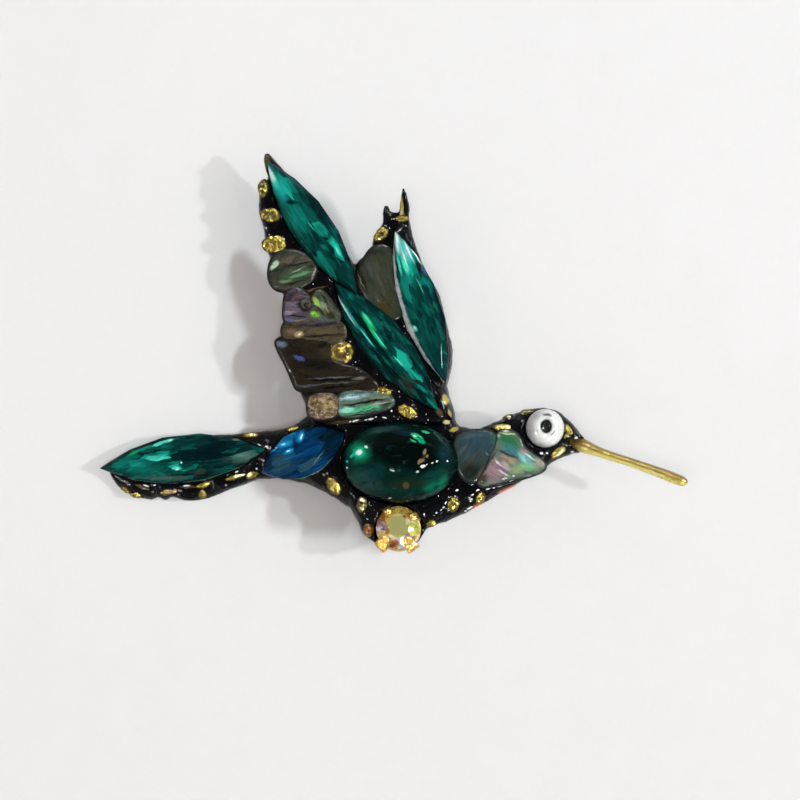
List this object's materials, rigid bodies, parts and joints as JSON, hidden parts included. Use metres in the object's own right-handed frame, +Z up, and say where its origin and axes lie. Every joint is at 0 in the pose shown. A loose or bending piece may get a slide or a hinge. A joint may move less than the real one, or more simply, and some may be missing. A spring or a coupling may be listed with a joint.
{
  "type": "hummingbird brooch",
  "caption": "Figural bird brooch: a black moulded body with spread wings set with long stones, a domed oval stone, shell and gold, on a bar pin.",
  "frame": {"origin": "middle of the brooch's box, on the surface that it lies on", "axes": "+X from the tail to the beak, +Y towards the wing tips, +Z up out of the brooch's face"},
  "size_m": [0.0952, 0.065, 0.0138],
  "materials": {
    "black_resin": "high gloss, hand smoothed",
    "emerald_glass": "faceted, foiled behind",
    "blue_glass": "faceted, foiled behind",
    "green_glass": "polished dome over black",
    "yellow_glass": "faceted, rainbow coated",
    "gold_metal": "polished",
    "gold_leaf": "hammered leaf, worn to the dark below",
    "white_bead": "glazed",
    "dark_shell": "polished sea shell, dark iridescent",
    "bright_shell": "polished sea shell, bright iridescent",
    "pin_metal": "satin"
  },
  "bodies": {
    "root": {"bird_base": "black_resin", "tail_stone": "emerald_glass", "near_wing_outer_stone": "emerald_glass", "near_wing_inner_stone": "emerald_glass", "far_wing_stone": "emerald_glass", "blue_stone": "blue_glass", "oval_stone": "green_glass", "round_stone": "yellow_glass", "round_stone_cup": "gold_metal", "eye_bead": "white_bead", "eye_pupil": "black_resin", "beak": "gold_metal", "shell_wing_oval": "bright_shell", "shell_wing_purple": "bright_shell", "shell_wing_lime": "bright_shell", "shell_wing_strip": "dark_shell", "shell_wing_large": "dark_shell", "shell_wing_rough": "dark_shell", "shell_wing_striped": "bright_shell", "shell_far_wing": "dark_shell", "shell_neck_dark": "dark_shell", "shell_neck_bright": "bright_shell", "gold_dabs": "gold_leaf", "pin_back": "pin_metal"}
  },
  "joints": []
}
